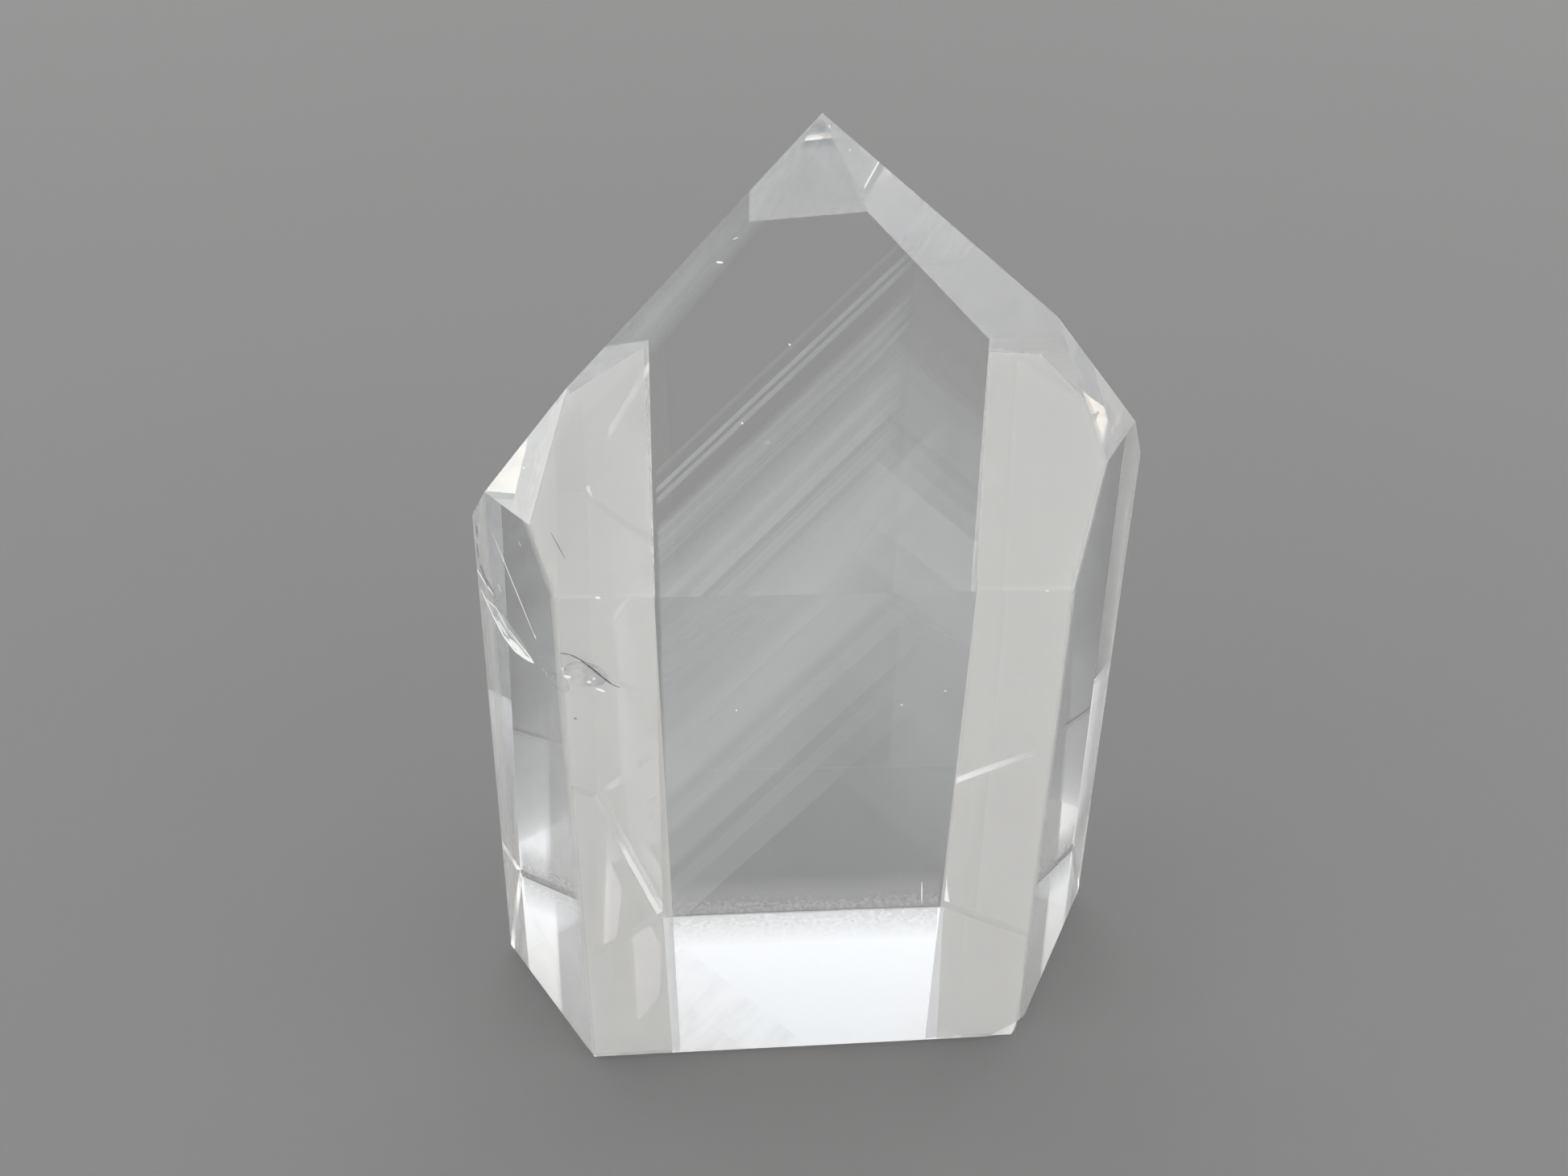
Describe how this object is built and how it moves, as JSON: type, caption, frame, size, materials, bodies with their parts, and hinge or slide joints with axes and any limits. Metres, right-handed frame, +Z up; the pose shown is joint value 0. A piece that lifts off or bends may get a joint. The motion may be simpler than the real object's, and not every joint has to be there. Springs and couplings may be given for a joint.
{
  "type": "phantom quartz crystal",
  "caption": "Clear polished quartz point that stands on its flat foot, with veiled growth layers (phantoms) nested inside its tip.",
  "frame": {"origin": "on the flat foot, z = 0, under the middle of the crystal's box", "axes": "+Z up from the foot to the point, the crystal's longest way; +X to the right along its broad front; the front face looks along -Y"},
  "size_m": [0.0428, 0.0244, 0.06],
  "materials": {
    "quartz": "polished colourless quartz, see-through, with faint white growth veils inside"
  },
  "bodies": {
    "root": {"crystal": "quartz"}
  },
  "joints": []
}
